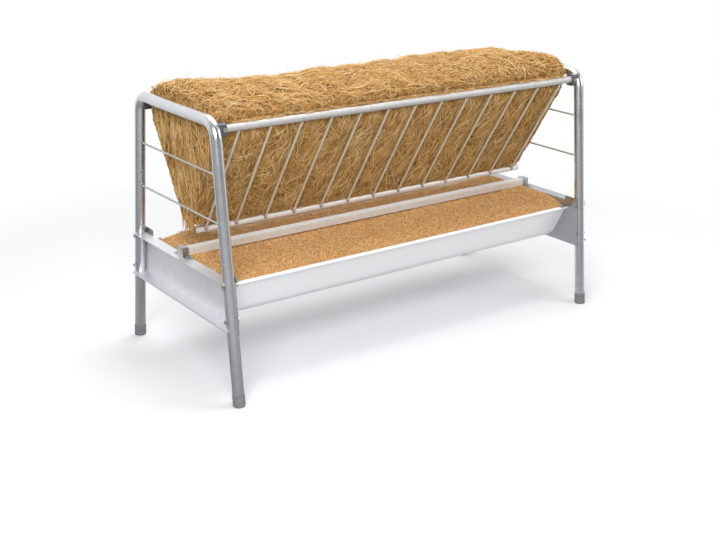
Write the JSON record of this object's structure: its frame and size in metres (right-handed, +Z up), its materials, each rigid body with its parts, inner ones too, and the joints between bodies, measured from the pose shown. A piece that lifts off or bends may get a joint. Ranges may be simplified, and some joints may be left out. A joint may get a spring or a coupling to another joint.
{
  "type": "hay feeder with trough",
  "caption": "V-shaped hay rack with round bars, hung between two bent tube end frames over a shallow sheet-metal feed trough",
  "frame": {"origin": "on the floor at the middle of the feeder, below the centre of its bounding box", "axes": "+X along the feeder towards its right end, +Y across it towards the rear, +Z up from the floor; the front side faces -Y"},
  "size_m": [1.808, 0.8308, 1.0744],
  "materials": {
    "frame_tube": "satin",
    "trough_sheet": "satin",
    "rail_tube": "satin",
    "bar_steel": "satin",
    "clamp_iron": "matte",
    "bracket_steel": "satin",
    "bolt_steel": "satin",
    "cap_plastic": "matte",
    "hay": "matte",
    "feed": "matte"
  },
  "bodies": {
    "feeder": {"centre_rail": "rail_tube", "clamp_bolts": "bolt_steel", "end_frame_left": "frame_tube", "end_frame_right": "frame_tube", "end_plate_left": "trough_sheet", "end_plate_right": "trough_sheet", "end_wire_left_lower": "bar_steel", "end_wire_left_upper": "bar_steel", "end_wire_right_lower": "bar_steel", "end_wire_right_upper": "bar_steel", "feed_fill": "feed", "foot_cap_left_front": "cap_plastic", "foot_cap_left_rear": "cap_plastic", "foot_cap_right_front": "cap_plastic", "foot_cap_right_rear": "cap_plastic", "plate_bolts_left": "bolt_steel", "plate_bolts_right": "bolt_steel", "rack_bar_front_01": "bar_steel", "rack_bar_front_02": "bar_steel", "rack_bar_front_03": "bar_steel", "rack_bar_front_04": "bar_steel", "rack_bar_front_05": "bar_steel", "rack_bar_front_06": "bar_steel", "rack_bar_front_07": "bar_steel", "rack_bar_front_08": "bar_steel", "rack_bar_front_09": "bar_steel", "rack_bar_front_10": "bar_steel", "rack_bar_front_11": "bar_steel", "rack_bar_front_12": "bar_steel", "rack_bar_front_13": "bar_steel", "rack_bar_rear_01": "bar_steel", "rack_bar_rear_02": "bar_steel", "rack_bar_rear_03": "bar_steel", "rack_bar_rear_04": "bar_steel", "rack_bar_rear_05": "bar_steel", "rack_bar_rear_06": "bar_steel", "rack_bar_rear_07": "bar_steel", "rack_bar_rear_08": "bar_steel", "rack_bar_rear_09": "bar_steel", "rack_bar_rear_10": "bar_steel", "rack_bar_rear_11": "bar_steel", "rack_bar_rear_12": "bar_steel", "rack_bar_rear_13": "bar_steel", "rack_bottom_rail": "rail_tube", "rail_clamp_left_front": "clamp_iron", "rail_clamp_left_rear": "clamp_iron", "rail_clamp_right_front": "clamp_iron", "rail_clamp_right_rear": "clamp_iron", "rail_plug_left": "cap_plastic", "rail_plug_right": "cap_plastic", "rail_saddle_left": "bracket_steel", "rail_saddle_right": "bracket_steel", "rim_bracket_left_front": "bracket_steel", "rim_bracket_left_rear": "bracket_steel", "rim_bracket_right_front": "bracket_steel", "rim_bracket_right_rear": "bracket_steel", "top_rail_front": "rail_tube", "top_rail_rear": "rail_tube", "trough": "trough_sheet"},
    "hay": {"hay_load": "hay"}
  },
  "joints": [
    {"name": "hay_lift", "type": "slide", "parent": "feeder", "child": "hay", "axis": [0, 0, 1], "range_m": [0, 0.6]}
  ]
}
